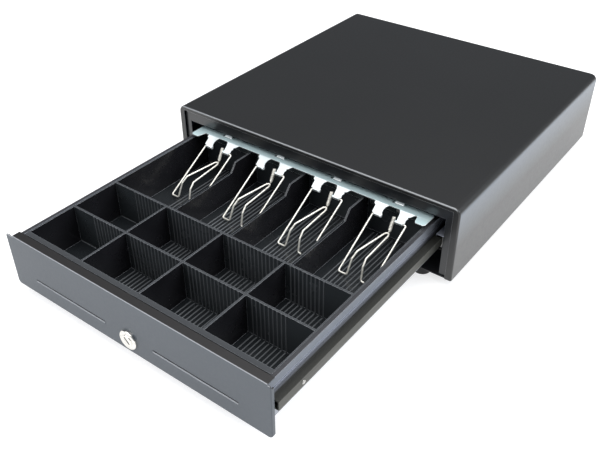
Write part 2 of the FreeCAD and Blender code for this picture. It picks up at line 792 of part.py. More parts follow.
def solenoid_plunger():
    """Plunger with a forked end that straddles the latch; it lifts the latch to release."""
    low, top = 27.0, 76.0
    body = rod(0, PLUNGER_Y, low, 4.5, top - low, Z_AXIS)
    fork = box(-2.8, 2.8, PLUNGER_Y - 6, PLUNGER_Y + 6, low - 1, 43.0)
    pin_hole = rod(-6, PLUNGER_Y, PIVOT_Z + 3, 1.5, 12, X_AXIS)
    shape = cut(body, [fork, pin_hole])
    shape.translate(V(0, 0, PLUNGER_LIFT))
    return shape


def link_pin():
    pin = rod(-5.2, PLUNGER_Y, PIVOT_Z + 3, 1.5, 10.4, X_AXIS)
    pin.translate(V(0, 0, PLUNGER_LIFT))
    return pin


def latch_spring():
    """Return spring round the plunger, under the solenoid frame."""
    low = 43.6 + PLUNGER_LIFT
    return helix(0, PLUNGER_Y, low, 5.6, 0.4, 51.2 - low, 3, Z_AXIS)


def solenoid_frame():
    """U-shaped yoke of the solenoid, riveted between the bracket's plates."""
    y0, y1 = PLUNGER_Y - 13, PLUNGER_Y + 13
    half = SIDE_PLATE
    bottom = box(-half, half, y0, y1, 52, 54)
    top = box(-half, half, y0, y1, 84, 86)
    sides = [box(s * half, s * (half - 2), y0, y1, 52, 86) for s in (-1, 1)]
    hole = rod(0, PLUNGER_Y, 50, 4.8, 6, Z_AXIS)
    return cut(fuse([bottom, top] + sides), [hole])


def solenoid_coil():
    """Wound bobbin inside the yoke."""
    flanges = [rod(0, PLUNGER_Y, z, 13.0, 1.5, Z_AXIS) for z in (54, 82.5)]
    winding = rod(0, PLUNGER_Y, 55.5, 11.5, 27.0, Z_AXIS)
    return cut(fuse(flanges + [winding]), [rod(0, PLUNGER_Y, 53, 4.8, 27.5, Z_AXIS)])


def microswitch():
    """Drawer-state switch on the bracket's post, worked by the latch's tail."""
    y0, y1 = FRONT + 391.5, FRONT + 411
    body = box(-3.2, 3.2, y0, y1, 8, 18)
    ears = [box(s * 1.6, s * 3.2, y0, y0 + 3.4, 18, 20.6) for s in (-1, 1)]
    terminals = [box(-1.4, 1.4, y0 - 5, y0, z, z + 0.8) for z in (10, 14)]
    return fuse([body] + ears + terminals)


def switch_lever():
    """Spring-steel lever of the microswitch, held down by the released latch."""
    y = FRONT + LEVER_D
    pin = rod(-1.3, y, LEVER_Z, 0.7, 2.6, X_AXIS)
    blade = prism_x(
        [(y, LEVER_Z + 0.2), (y + 16.5, 23.6), (y + 16.5, 24.1), (y, LEVER_Z + 0.7)],
        -1.3,
        1.3,
    )
    return fuse([pin, blade])


# ---------------------------------------------------------------- striker and ejector
def striker():
    """Plate and cross pin on the back of the drawer box, caught by the latch."""
    y0 = DRAWER + BOX_END
    plate = box(-16, 16, y0, y0 + 1.5, 14.0, 38.0)
    ears = [box(s * 9.0, s * 10.5, y0, y0 + 17, 19.0, 29.0) for s in (-1, 1)]
    pin = rod(-10.5, DRAWER + STRIKE_D, STRIKE_Z, 2.5, 21.0, X_AXIS)
    return fuse([plate, pin] + ears)


def eject_guide():
    """Moulded guide for the spring pusher that starts the drawer on its way out."""
    y0, y1 = FRONT + 371, FRONT + 411
    body = box(PUSHER_X - 11, PUSHER_X + 11, y0, y1, PUSHER_Z - 11, PUSHER_Z + 11)
    pedestal = box(PUSHER_X - 9, PUSHER_X + 9, y0 + 2, y1 - 2, SHEET, PUSHER_Z - 11)
    foot = box(PUSHER_X - 20, PUSHER_X + 20, y0 + 2, y1 - 2, SHEET, SHEET + 3)
    bore = rod(PUSHER_X, y0 - 1, PUSHER_Z, 7.2, 37, Y_AXIS)
    return cut(fuse([body, pedestal, foot]), [bore])


def eject_pusher():
    """Hollow piston, pressed home as it is with the drawer shut."""
    y0 = FRONT + 363.2
    piston = rod(PUSHER_X, y0, PUSHER_Z, 7.0, 34, Y_AXIS)
    nose = [e for e in piston.Edges if e.Closed and abs(e.CenterOfMass.y - y0) < 1e-3]
    piston = piston.makeFillet(1.5, nose)
    return piston.cut(rod(PUSHER_X, y0 + 4, PUSHER_Z, 5.4, 34, Y_AXIS))


def eject_spring():
    start = FRONT + 367.8
    return helix(PUSHER_X, start, PUSHER_Z, 4.4, 0.7, 38.4, 5, Y_AXIS)


def cable_socket():
    """Six-way modular socket for the lead from the printer."""
    end = FRONT + DEPTH
    y0 = end - 14
    body = box(SOCKET_X - 8, SOCKET_X + 8, y0, end, SOCKET_Z - 8, SOCKET_Z + 8)
    mouth = box(SOCKET_X - 5.0, SOCKET_X + 5.0, y0 + 2, end + 1, SOCKET_Z - 4, SOCKET_Z + 3)
    latch_way = box(SOCKET_X - 3.2, SOCKET_X + 3.2, y0 + 6, end + 1, SOCKET_Z - 6, SOCKET_Z - 4)
    shelf = box(SOCKET_X - 11, SOCKET_X + 11, y0, end - SHEET, SOCKET_Z - 10, SOCKET_Z - 8)
    return cut(fuse([body, shelf]), [mouth, latch_way])


def export(name, shape):
    shape.exportStep("parts/%s.step" % name)


def main():
    os.makedirs("parts", exist_ok=True)
    single = {
        "housing_cover": housing_cover(),
        "base_pan": base_pan(),
        "front_frame": front_frame(),
        "rear_panel": rear_panel(),
        "rear_screws": rear_screws(),
        "rubber_feet": rubber_feet(),
        "foot_screws": foot_screws(),
        "front_panel": front_panel(),
        "drawer_box": drawer_box(),
        "media_guide": media_guide(),
        "insert_stop": insert_stop(),
        "rod_guide": rod_guide(),
        "panel_screws": panel_screws(),
        "lock_barrel": lock_barrel(),
        "lock_nut": lock_nut(),
        "lock_plug": lock_plug(),
        "lock_crank": lock_crank(),
        "lock_rod": lock_rod(),
        "till_insert": till_insert(),
        "clip_bar": clip_bar(),
        "bar_screws": bar_screws(),
        "latch_bracket": latch_bracket(),
        "latch_pin": latch_pin(),
        "latch_spacers": latch_spacers(),
        "latch_hook": latch_hook(),
        "latch_spring": latch_spring(),
        "solenoid_plunger": solenoid_plunger(),
        "link_pin": link_pin(),
        "solenoid_frame": solenoid_frame(),
        "solenoid_coil": solenoid_coil(),
        "microswitch": microswitch(),
        "switch_lever": switch_lever(),
        "striker": striker(),
        "eject_guide": eject_guide(),
        "eject_pusher": eject_pusher(),
        "eject_spring": eject_spring(),
        "cable_socket": cable_socket(),
    }
    for name, shape in single.items():
        export(name, shape)
    handed = {
        "slide_bracket": slide_bracket(),
        "slide_outer": slide_outer(),
        "slide_inner": slide_inner(),
        "ball_cage": ball_cage(),
        "slide_balls": slide_balls(),
    }
    for name, shape in handed.items():
        export(name + "_right", shape)
        export(name + "_left", mirror(shape))
    for number, centre in enumerate(clip_centres(), 1):
        export("bill_clip_%d" % number, bill_clip(centre))


main()
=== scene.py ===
"""Looks of the cash drawer: materials, moulded and folded detail, camera and light.

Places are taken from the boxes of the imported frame's nodes, with small offsets in millimetres.
Metres, +Z up, the drawer opens towards -Y.
"""

import json
import math

import bmesh
import bpy
from mathutils import Matrix, Vector


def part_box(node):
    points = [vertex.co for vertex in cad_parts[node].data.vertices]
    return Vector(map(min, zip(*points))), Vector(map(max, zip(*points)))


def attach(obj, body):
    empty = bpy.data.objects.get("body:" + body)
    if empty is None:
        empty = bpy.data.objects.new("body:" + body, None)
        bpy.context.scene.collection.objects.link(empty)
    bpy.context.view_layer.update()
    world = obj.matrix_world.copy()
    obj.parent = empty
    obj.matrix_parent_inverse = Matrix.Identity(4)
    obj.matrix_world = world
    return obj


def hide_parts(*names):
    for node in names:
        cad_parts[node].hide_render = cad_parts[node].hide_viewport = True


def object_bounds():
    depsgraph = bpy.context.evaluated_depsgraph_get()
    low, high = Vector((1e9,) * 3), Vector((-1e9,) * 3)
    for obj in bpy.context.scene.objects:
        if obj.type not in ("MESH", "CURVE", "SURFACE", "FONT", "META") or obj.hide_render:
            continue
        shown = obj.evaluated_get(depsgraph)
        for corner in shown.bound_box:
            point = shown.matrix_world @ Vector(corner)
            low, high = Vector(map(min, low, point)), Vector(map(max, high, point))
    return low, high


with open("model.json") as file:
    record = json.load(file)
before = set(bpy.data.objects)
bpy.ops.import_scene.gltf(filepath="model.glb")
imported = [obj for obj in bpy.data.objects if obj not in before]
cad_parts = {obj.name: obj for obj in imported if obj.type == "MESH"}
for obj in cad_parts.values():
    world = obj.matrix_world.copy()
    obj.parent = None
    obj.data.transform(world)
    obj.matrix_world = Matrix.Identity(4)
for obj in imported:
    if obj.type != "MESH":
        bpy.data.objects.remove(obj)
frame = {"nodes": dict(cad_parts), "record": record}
NODES = frame["nodes"]
CAD_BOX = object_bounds()
MM = 0.001

# ---------------------------------------------------------------- places read from the frame
INSERT_LOW, INSERT_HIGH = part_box("till_insert")
BAR_LOW, BAR_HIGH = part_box("clip_bar")
MEMBER_LOW, MEMBER_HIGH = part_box("slide_inner_right")
DRAWER_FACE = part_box("front_panel")[0].y

CLIP_NODES = ["bill_clip_%d" % n for n in (1, 2, 3, 4)]
CLIP_REACH = 21.0 * MM                 # from a clip's centre to its left leg's outer side
CLIP_CENTRES = [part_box(name)[0].x + CLIP_REACH for name in CLIP_NODES]

# Directions that choose the faces given painted light and shade on paint, plastic and steel.
UP = (0, 0, 1)
FORWARD = (0, -1, 0)
RIGHT = (1, 0, 0)
FOLDED = (0, -1, 1)                    # the rounded front edges
SQUARE_ON = (0.9, 0.99)                # mask limits for a face that looks straight that way

NOISE_RANGE = (0.3, 0.7)               # noise mostly lies here


# ---------------------------------------------------------------- material helpers
class Shader:
    """A node tree with one Principled shader and short ways to feed it."""

    def __init__(self, name, colour, roughness, metallic=0.0):
        self.material = bpy.data.materials.new(name)
        self.material.use_nodes = True
        self.tree = self.material.node_tree
        self.surface = self.tree.nodes["Principled BSDF"]
        self.set("Base Color", (*colour, 1))
        self.set("Roughness", roughness)
        self.set("Metallic", metallic)
        coordinates = self.tree.nodes.new("ShaderNodeTexCoord")
        self.place = coordinates.outputs["Object"]

    def set(self, socket, value):
        self.surface.inputs[socket].default_value = value

    def link(self, source, target):
        self.tree.links.new(source, target)

    def stretched(self, scale):
        """Object coordinates scaled per axis."""
        mapping = self.tree.nodes.new("ShaderNodeMapping")
        mapping.inputs["Scale"].default_value = scale
        self.link(self.place, mapping.inputs["Vector"])
        return mapping.outputs["Vector"]

    def noise(self, scale, detail=3.0, roughness=0.5, vector=None):
        node = self.tree.nodes.new("ShaderNodeTexNoise")
        node.inputs["Scale"].default_value = scale
        node.inputs["Detail"].default_value = detail
        node.inputs["Roughness"].default_value = roughness
        self.link(vector or self.place, node.inputs["Vector"])
        return node.outputs["Fac"]

    def ramp(self, factor, stops):
        """Colour ramp; stops are (position, colour)."""
        node = self.tree.nodes.new("ShaderNodeValToRGB")
        elements = node.color_ramp.elements
        while len(elements) < len(stops):
            elements.new(0.5)
        for element, (position, colour) in zip(elements, stops):
            element.position = position
            element.color = (*colour, 1)
        self.link(factor, node.inputs["Fac"])
        return node.outputs["Color"]

    def remap(self, value, start, end, low=0.0, high=1.0):
        """The value taken from start..end to low..high and held there."""
        node = self.tree.nodes.new("ShaderNodeMapRange")
        node.inputs["From Min"].default_value = start
        node.inputs["From Max"].default_value = end
        node.inputs["To Min"].default_value = low
        node.inputs["To Max"].default_value = high
        self.link(value, node.inputs["Value"])
        return node.outputs["Result"]

    def spread(self, noise, low, high):
        """Noise spread over low..high."""
        return self.remap(noise, *NOISE_RANGE, low, high)

    def bump(self, height, strength, distance, normal=None):
        node = self.tree.nodes.new("ShaderNodeBump")
        node.inputs["Strength"].default_value = strength
        node.inputs["Distance"].default_value = distance
        self.link(height, node.inputs["Height"])
        if normal is not None:
            self.link(normal, node.inputs["Normal"])
        return node.outputs["Normal"]

    def soft_edges(self, radius):
        """Normal that rounds sharp edges as it is lit."""
        node = self.tree.nodes.new("ShaderNodeBevel")
        node.samples = 6
        node.inputs["Radius"].default_value = radius
        return node.outputs["Normal"]

    def dot_mask(self, vector, other, low, high):
        """Clamped 0..1 mask from the dot product of two directions."""
        dot = self.tree.nodes.new("ShaderNodeVectorMath")
        dot.operation = "DOT_PRODUCT"
        self.link(vector, dot.inputs[0])
        if isinstance(other, tuple):
            dot.inputs[1].default_value = other
        else:
            self.link(other, dot.inputs[1])
        return self.remap(dot.outputs["Value"], low, high)

    def true_normal(self):
        return self.tree.nodes.new("ShaderNodeNewGeometry").outputs["Normal"]

    def facing(self, direction, low=SQUARE_ON[0], high=SQUARE_ON[1]):
        """1 where the surface faces the direction, 0 where it turns away."""
        return self.dot_mask(self.true_normal(), tuple(Vector(direction).normalized()), low, high)

    def height(self, z0, z1):
        """Mask that grows with height, from 0 at z0 to 1 at z1."""
        place = self.tree.nodes.new("ShaderNodeSeparateXYZ")
        self.link(self.place, place.inputs["Vector"])
        return self.remap(place.outputs["Z"], z0, z1)

    def both(self, first, second):
        """1 where both masks are 1."""
        node = self.tree.nodes.new("ShaderNodeMath")
        node.operation = "MULTIPLY"
        self.link(first, node.inputs[0])
        self.link(second, node.inputs[1])
        return node.outputs["Value"]

    def at_edges(self, radius, flat=0.995, sharp=0.93):
        """1 along sharp edges, 0 on faces: how far the rounded normal leaves the true one."""
        return self.dot_mask(self.soft_edges(radius), self.true_normal(), flat, sharp)

    def shade(self, mask, colour):
        """Replace the colour so far by another where the mask is 1."""
        socket = self.surface.inputs["Base Color"]
        mix = self.tree.nodes.new("ShaderNodeMix")
        mix.data_type = "RGBA"
        if socket.is_linked:
            self.link(socket.links[0].from_socket, mix.inputs["A"])
        else:
            mix.inputs["A"].default_value = socket.default_value
        mix.inputs["B"].default_value = (*colour, 1)
        self.link(mask, mix.inputs["Factor"])
        self.link(mix.outputs["Result"], socket)

    def finish(self, normal):
        """Set the normal and hand the material over."""
        self.link(normal, self.surface.inputs["Normal"])
        return self.material


def tint(colour, factor):
    """Lighter or darker colour, never above full."""
    return tuple(min(1.0, channel * factor) for channel in colour)


def powder_coat(name, colour, roughness, coat=0.3, coat_roughness=0.14, edge=0.7 * MM,
                painted_edge_shading=None, top=None, fold=None, side=None):
    """Baked satin paint: fine orange peel, faint clouding and a clear top layer.

    top, side and fold are painted light: top a painted shade on the faces that look up, side a
    painted highlight on the right-hand face's upper part, fold a painted highlight on the rounded
    front edges. Along sharp edges a painted line is laid in the edge colour: a highlight, and a
    shade where that colour is darker than the paint.
    """
    s = Shader(name, colour, roughness)
    clouds = s.noise(6.0, detail=2.0)
    s.link(s.ramp(clouds, [(0.3, tint(colour, 0.93)), (0.7, tint(colour, 1.07))]),
           s.surface.inputs["Base Color"])
    s.link(s.spread(s.noise(300.0, detail=4.0), roughness * 0.94, roughness * 1.06),
           s.surface.inputs["Roughness"])
    s.set("Coat Weight", coat)
    s.set("Coat Roughness", coat_roughness)
    s.set("Specular IOR Level", 0.5)
    # painted shade on the faces that look up
    if top:
        s.shade(s.facing(UP, 0.25, 0.6), top)
    # painted highlight on the upper part of the right-hand face
    if side:
        s.shade(s.both(s.height(45 * MM, 95 * MM), s.facing(RIGHT)), side)
    # painted highlight on the rounded front edges
    if fold:
        s.shade(s.facing(FOLDED, 0.86, 0.97), fold)
    # painted highlight line along sharp edges, a painted shade line where the edge colour is darker
    if painted_edge_shading:
        s.shade(s.at_edges(edge), painted_edge_shading)
    peel = s.bump(s.noise(1400.0, detail=2.0), 0.10, 0.08 * MM, s.soft_edges(edge))
    return s.finish(peel)


def moulded_plastic(name, colour, roughness, grain=900.0, depth=0.05 * MM, edge=0.5 * MM,
                    painted_edge_shading=None, top=None, front=None, crest=None):
    """Injection-moulded plastic: flow clouding in the gloss and a fine surface grain.

    top and front are painted light on the faces that look up and forwards, crest a painted
    highlight on the faces level with the insert's rim. Along sharp edges a painted highlight line
    is laid in the edge colour.
    """
    s = Shader(name, colour, roughness)
    flow = s.noise(9.0, detail=3.0, vector=s.stretched((1, 2.4, 1)))
    s.link(s.ramp(flow, [(0.3, tint(colour, 0.8)), (0.7, tint(colour, 1.3))]),
           s.surface.inputs["Base Color"])
    s.link(s.spread(s.noise(38.0, detail=5.0), roughness * 0.8, roughness * 1.25),
           s.surface.inputs["Roughness"])
    s.set("IOR", 1.5)
    # painted light on the faces that look up
    if top:
        s.shade(s.facing(UP), top)
    # painted highlight on the up-facing faces level with the rim
    if crest:
        rim = s.height(INSERT_HIGH.z - 0.4 * MM, INSERT_HIGH.z - 0.2 * MM)
        s.shade(s.both(rim, s.facing(UP)), crest)
    # painted light on the faces that look forwards
    if front:
        s.shade(s.facing(FORWARD), front)
    # painted highlight line along sharp edges
    if painted_edge_shading:
        s.shade(s.at_edges(edge), painted_edge_shading)
    skin = s.bump(s.noise(grain, detail=3.0), 0.12, depth, s.soft_edges(edge))
    return s.finish(skin)


GRAIN_STRETCH = {"x": (4, 160, 160), "y": (160, 4, 160), "z": (160, 160, 4)}


def sheet_steel(name, colour, roughness, along="y", edge=0.3 * MM, metallic=1.0, top=None):
    """Rolled or plated steel: long faint grain, mottled gloss."""
    s = Shader(name, colour, roughness, metallic=metallic)
    grain = s.noise(6.0, detail=5.0, vector=s.stretched(GRAIN_STRETCH[along]))
    blotch = s.noise(45.0, detail=4.0)
    s.link(s.ramp(blotch, [(0.25, tint(colour, 0.82)), (0.75, tint(colour, 1.12))]),
           s.surface.inputs["Base Color"])
    s.link(s.spread(grain, roughness * 0.75, roughness * 1.3), s.surface.inputs["Roughness"])
    # painted shade in the top colour on the faces that look up, and a near-black painted shadow on
    # the faces that look forwards
    if top:
        s.shade(s.facing(UP, 0.85, 0.98), top)
        s.shade(s.facing(FORWARD, 0.93, 0.99), tint(top, 0.08))
    return s.finish(s.bump(grain, 0.12, 0.05 * MM, s.soft_edges(edge)))


def slide_steel(name, colour, roughness, root):
    """Slide steel with painted shading, from the member's lower edge to its upper one.

    The lower edge has a painted shade with a painted highlight line above it, a painted shade lies
    below the upper raceway, and painted light, in the root colour, lies at the top.
    """
    s = Shader(name, colour, roughness, metallic=0.6)
    # painted shade and light by height: shade at the lower edge, a highlight line, shade below the
    # raceway, light at the top
    painted_shading_by_height = [
        (0.20, tint(colour, 0.2)), (0.22, tint(colour, 1.5)),
        (0.30, colour), (0.77, colour),
        (0.80, tint(colour, 0.12)), (0.88, tint(root, 0.3)), (0.96, root),
    ]
    s.link(s.ramp(s.height(MEMBER_LOW.z, MEMBER_HIGH.z), painted_shading_by_height), s.surface.inputs["Base Color"])
    grain = s.noise(6.0, detail=5.0, vector=s.stretched(GRAIN_STRETCH["y"]))
    s.link(s.spread(grain, roughness * 0.85, roughness * 1.15), s.surface.inputs["Roughness"])
    return s.finish(s.bump(grain, 0.12, 0.05 * MM, s.soft_edges(0.5 * MM)))


def plated_wire(name, colour, roughness, metallic=1.0):
    """Drawn wire, nickel plated: draw lines along it and slight wear."""
    s = Shader(name, colour, roughness, metallic=metallic)
    wear = s.noise(260.0, detail=4.0)
    s.link(s.ramp(wear, [(0.3, tint(colour, 0.78)), (0.6, colour)]), s.surface.inputs["Base Color"])
    s.link(s.spread(wear, roughness * 0.7, roughness * 1.5), s.surface.inputs["Roughness"])
    return s.finish(s.bump(s.noise(900.0), 0.15, 0.03 * MM))


def foot_rubber(name, colour):
    """Matt rubber with a dusty bloom."""
    s = Shader(name, colour, 0.85)
    dust = s.noise(70.0, detail=6.0)
    s.link(s.ramp(dust, [(0.35, colour), (0.75, tint(colour, 2.2))]),
           s.surface.inputs["Base Color"])
    s.set("Sheen Weight", 0.2)
    return s.finish(s.bump(s.noise(700.0, detail=4.0), 0.3, 0.1 * MM, s.soft_edges(0.6 * MM)))


def coil_tape(name, colour):
    """Varnished tape over a winding."""
    s = Shader(name, colour, 0.35)
    wave = s.tree.nodes.new("ShaderNodeTexWave")
    wave.bands_direction = "Z"
    wave.inputs["Scale"].default_value = 260.0
    wave.inputs["Distortion"].default_value = 1.5
    s.link(s.place, wave.inputs["Vector"])
    s.link(s.ramp(wave.outputs["Fac"], [(0.2, tint(colour, 0.7)), (0.8, colour)]),
           s.surface.inputs["Base Color"])
    return s.finish(s.bump(wave.outputs["Fac"], 0.4, 0.1 * MM))


# ---------------------------------------------------------------- finishes, one for each slot
FINISH = {
    # charcoal_paint: the side, fold and edge colours are painted highlights
    "charcoal_paint": powder_coat("charcoal_paint", (0.009, 0.009, 0.009), 0.40, coat=0.33,
                                  side=(0.10, 0.125, 0.155), fold=(0.24, 0.25, 0.26),
                                  painted_edge_shading=(0.20, 0.20, 0.21), edge=0.9 * MM),
    # frame_paint: the edge colour is a painted highlight line
    "frame_paint": powder_coat("frame_paint", (0.008, 0.009, 0.011), 0.32, coat=0.5,
                               painted_edge_shading=(0.10, 0.11, 0.12)),
    # panel_paint: top is a painted shade on the up-facing faces, fold a painted highlight
    "panel_paint": powder_coat("panel_paint", (0.056, 0.068, 0.083), 0.46, coat=0.12,
                               top=(0.010, 0.009, 0.009), fold=(0.30, 0.31, 0.33)),
    "pan_paint": powder_coat("pan_paint", (0.012, 0.012, 0.014), 0.5),
    "zinc_steel": sheet_steel("zinc_steel", (0.55, 0.55, 0.53), 0.38),
    # slide_steel: the root colour is painted light at the member's top
    "slide_steel": slide_steel("slide_steel", (0.072, 0.072, 0.063), 0.46, (0.34, 0.36, 0.42)),
    # box_steel: top is a painted shade on the up-facing faces, the edge colour a painted shade line
    "box_steel": powder_coat("box_steel", (0.26, 0.28, 0.32), 0.36, coat=0.5,
                             top=(0.030, 0.030, 0.034), painted_edge_shading=(0.002, 0.002, 0.002)),
    "screw_steel": sheet_steel("screw_steel", (0.55, 0.54, 0.52), 0.3, along="z"),
    "ball_chrome": plated_wire("ball_chrome", (0.82, 0.82, 0.82), 0.08),
    "lock_chrome": plated_wire("lock_chrome", (0.86, 0.84, 0.79), 0.14),
    "clip_wire": plated_wire("clip_wire", (0.97, 0.94, 0.86), 0.32, metallic=0.45),
    # bar_zinc: top is a painted shade on the up-facing faces, darkened further as a painted shadow
    # on the faces that look forwards
    "bar_zinc": sheet_steel("bar_zinc", (0.86, 0.93, 0.94), 0.42, along="x", metallic=0.25,
                            top=(0.52, 0.66, 0.68)),
    # insert_plastic: top and front are painted light, crest and the edge colour painted highlights
    "insert_plastic": moulded_plastic("insert_plastic", (0.010, 0.010, 0.012), 0.24,
                                      painted_edge_shading=(0.22, 0.23, 0.25), top=(0.011, 0.013, 0.015),
                                      front=(0.026, 0.030, 0.033), crest=(0.048, 0.051, 0.055)),
    "guide_plastic": moulded_plastic("guide_plastic", (0.05, 0.05, 0.055), 0.45),
    "socket_plastic": moulded_plastic("socket_plastic", (0.02, 0.02, 0.02), 0.35),
    "foot_rubber": foot_rubber("foot_rubber", (0.012, 0.012, 0.012)),
    "spring_steel": plated_wire("spring_steel", (0.6, 0.6, 0.6), 0.25),
    "coil_wrap": coil_tape("coil_wrap", (0.45, 0.26, 0.05)),
    "pin_steel": sheet_steel("pin_steel", (0.6, 0.6, 0.6), 0.25, along="z"),
}

# The ribs carry a painted highlight: their finish is lighter than the insert they stand on.
RIB_HIGHLIGHT_FINISH = moulded_plastic("rib_painted_highlight", (0.09, 0.096, 0.102), 0.22)


# ---------------------------------------------------------------- mesh helpers
def add_object(name, data, body, slot):
    """Piece that rides on a body and wears a slot's finish."""
    piece = bpy.data.objects.new(name, data)
    bpy.context.scene.collection.objects.link(piece)
    piece.data.materials.append(FINISH[slot])
    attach(piece, body)
    return piece


def mesh_from(name, build, body, slot, smooth=False):
    """Object whose mesh is filled in by build(bm)."""
    bm = bmesh.new()
    build(bm)
    bmesh.ops.remove_doubles(bm, verts=bm.verts, dist=1e-6)
    bmesh.ops.recalc_face_normals(bm, faces=bm.faces)
    data = bpy.data.meshes.new(name)
    bm.to_mesh(data)
    bm.free()
    if smooth:
        data.shade_smooth()
    return add_object(name, data, body, slot)


def add_prism(bm, outline, along):
    """Closed prism: outline is a ring of points, along the vector to its other end."""
    near = [bm.verts.new(p) for p in outline]
    far = [bm.verts.new(Vector(p) + along) for p in outline]
    bm.faces.new(near)
    bm.faces.new(list(reversed(far)))
    for i in range(len(outline)):
        j = (i + 1) % len(outline)
        bm.faces.new((near[i], far[i], far[j], near[j]))


def arc(cx, cy, radius, start, end, steps=6):
    """Points of an arc in a plane, angles in degrees."""
    angles = [math.radians(start + (end - start) * k / steps) for k in range(steps + 1)]
    return [(cx + radius * math.cos(a), cy + radius * math.sin(a)) for a in angles]


def circle(cx, cy, radius, count):
    """Ring of evenly spaced points."""
    return arc(cx, cy, radius, 0, 360 - 360 / count, count - 1)


def wire_curve(name, routes, radius, bend, body, slot):
    """Round wire along each route of points, rounded at each corner."""
    data = bpy.data.curves.new(name, "CURVE")
    data.dimensions = "3D"
    data.bevel_depth = 1.0          # the points' own radii carry the wire's size
    data.bevel_resolution = 5
    data.use_fill_caps = True
    for points in routes:
        path = rounded_path(points, bend) if bend else points
        spline = data.splines.new("POLY")
        spline.points.add(len(path) - 1)
        for target, p in zip(spline.points, path):
            target.co = (*p, 1)
            target.radius = radius
        spline.use_smooth = True
    return add_object(name, data, body, slot)


def rounded_path(points, bend, steps=6, most=0.45):
    """The points with each inner corner rounded, over at most that share of a straight."""
    points = [Vector(p) for p in points]
    path = [points[0]]
    for before, corner, after in zip(points, points[1:], points[2:]):
        back, ahead = (before - corner), (after - corner)
        turn = math.pi - back.angle(ahead)
        reach = min(bend * math.tan(turn / 2), back.length * most, ahead.length * most)
        p0 = corner + back.normalized() * reach
        p1 = corner + ahead.normalized() * reach
        for k in range(steps + 1):
            t = k / steps
            path.append(p0 * (1 - t) ** 2 + corner * 2 * t * (1 - t) + p1 * t**2)
    path.append(points[-1])
    return path


# ---------------------------------------------------------------- camera, floor, light
def make_camera():
    """Camera at the angle the object is shown from."""
    data = bpy.data.cameras.new("camera")
    data.lens = 45.42
    data.sensor_width = 36.0
    camera = bpy.data.objects.new("camera", data)
    bpy.context.scene.collection.objects.link(camera)
    right = Vector((0.80059, 0.599206, -0.002848))
    up = Vector((-0.350653, 0.472346, 0.80866))
    back = Vector((0.485899, -0.646407, 0.588269))
    place = (0.4609, -0.8298, 0.5535)
    rotation = Matrix((right, up, back)).transposed().to_4x4()
    camera.matrix_world = Matrix.Translation(place) @ rotation
    bpy.context.scene.camera = camera


def make_floor():
    """Wide pale floor under the feet, lit from itself so that it stays nearly white."""
    size = 40.0
    data = bpy.data.meshes.new("floor")
    z = CAD_BOX[0].z
    corners = [(-size, -size, z), (size, -size, z), (size, size, z), (-size, size, z)]
    data.from_pydata(corners, [], [(0, 1, 2, 3)])
    floor = bpy.data.objects.new("floor", data)
    bpy.context.scene.collection.objects.link(floor)
    s = Shader("floor_paper", (0.45, 0.45, 0.45), 0.9)
    tone = s.noise(1.5, detail=2.0)
    s.link(s.ramp(tone, [(0.3, (0.44, 0.44, 0.44)), (0.7, (0.46, 0.46, 0.46))]),
           s.surface.inputs["Base Color"])
    s.set("Emission Color", (1, 1, 1, 1))
    s.set("Emission Strength", 0.72)
    data.materials.append(s.finish(s.bump(s.noise(600.0), 0.05, 0.1 * MM)))


def add_area(name, place, target, size, power, colour=(1, 1, 1)):
    """Soft rectangular light that looks at the target."""
    data = bpy.data.lights.new(name, "AREA")
    data.shape = "RECTANGLE"
    data.size, data.size_y = size
    data.energy = power
    data.color = colour
    light = bpy.data.objects.new(name, data)
    bpy.context.scene.collection.objects.link(light)
    light.location = place
    direction = Vector(target) - Vector(place)
    light.rotation_euler = direction.to_track_quat("-Z", "Y").to_euler()


def make_light():
    """Dim sky, a broad light overhead, a key from the right and a fill from the front."""
    world = bpy.data.worlds.new("studio")
    world.use_nodes = True
    background = world.node_tree.nodes["Background"]
    background.inputs["Color"].default_value = (0.80, 0.86, 0.95, 1)
    background.inputs["Strength"].default_value = 0.20
    bpy.context.scene.world = world
    add_area("overhead", (0.2, -0.2, 2.2), (0, -0.1, 0), (2.4, 2.4), 75)
    add_area("right_key", (1.8, 0.6, 1.3), (0, 0, 0), (1.4, 1.2), 30, (0.92, 0.96, 1.0))
    add_area("front_fill", (-0.8, -2.0, 0.9), (0, -0.3, 0), (1.6, 1.0), 18, (0.95, 0.97, 1.0))
    bpy.context.scene.view_settings.view_transform = "Standard"


# ---------------------------------------------------------------- insert ribs
COLUMNS = 4
WALL = 1.7 * MM
DIVIDER = 2.4 * MM
FLOOR_Z = INSERT_LOW.z + 1.8 * MM
FRONT_RIM = INSERT_LOW.y + 6.0 * MM
COIN_WALL = DRAWER_FACE + 82.0 * MM
BILL_WALL = DRAWER_FACE + 144.0 * MM
RIB_PITCH = 5.2 * MM
RIB_HALF = 0.9 * MM
RIB_PROUD = 0.7 * MM
SUNK = 0.05 * MM              # ribs and beads start this far inside the wall
RIBBED_HALF = 139.0 * MM      # ribs stop here, short of the insert's outer walls


def insert_columns():
    """Left and right faces of each column of cups and bays."""
    half = INSERT_HIGH.x - WALL
    pitch = (2 * half + DIVIDER) / COLUMNS
    return [(-half + i * pitch, -half + (i + 1) * pitch - DIVIDER) for i in range(COLUMNS)]


def rib_places(margin):
    """Centre of every rib, column by column, clear of the dividers by the margin."""
    places = []
    for left, right in insert_columns():
        low = max(left + margin, -RIBBED_HALF)
        high = min(right - margin, RIBBED_HALF)
        count = int((high - low) / RIB_PITCH)
        first = (low + high) / 2 - (count - 1) * RIB_PITCH / 2
        places += [first + i * RIB_PITCH for i in range(count)]
    return places


def rib_section(x):
    """A rib's rounded section, foot to foot: place across and rise above the wall."""
    shoulder, rise = RIB_HALF * 0.55, RIB_PROUD * 0.8
    return [(x - RIB_HALF, -SUNK), (x - shoulder, rise), (x, RIB_PROUD),
            (x + shoulder, rise), (x + RIB_HALF, -SUNK)]


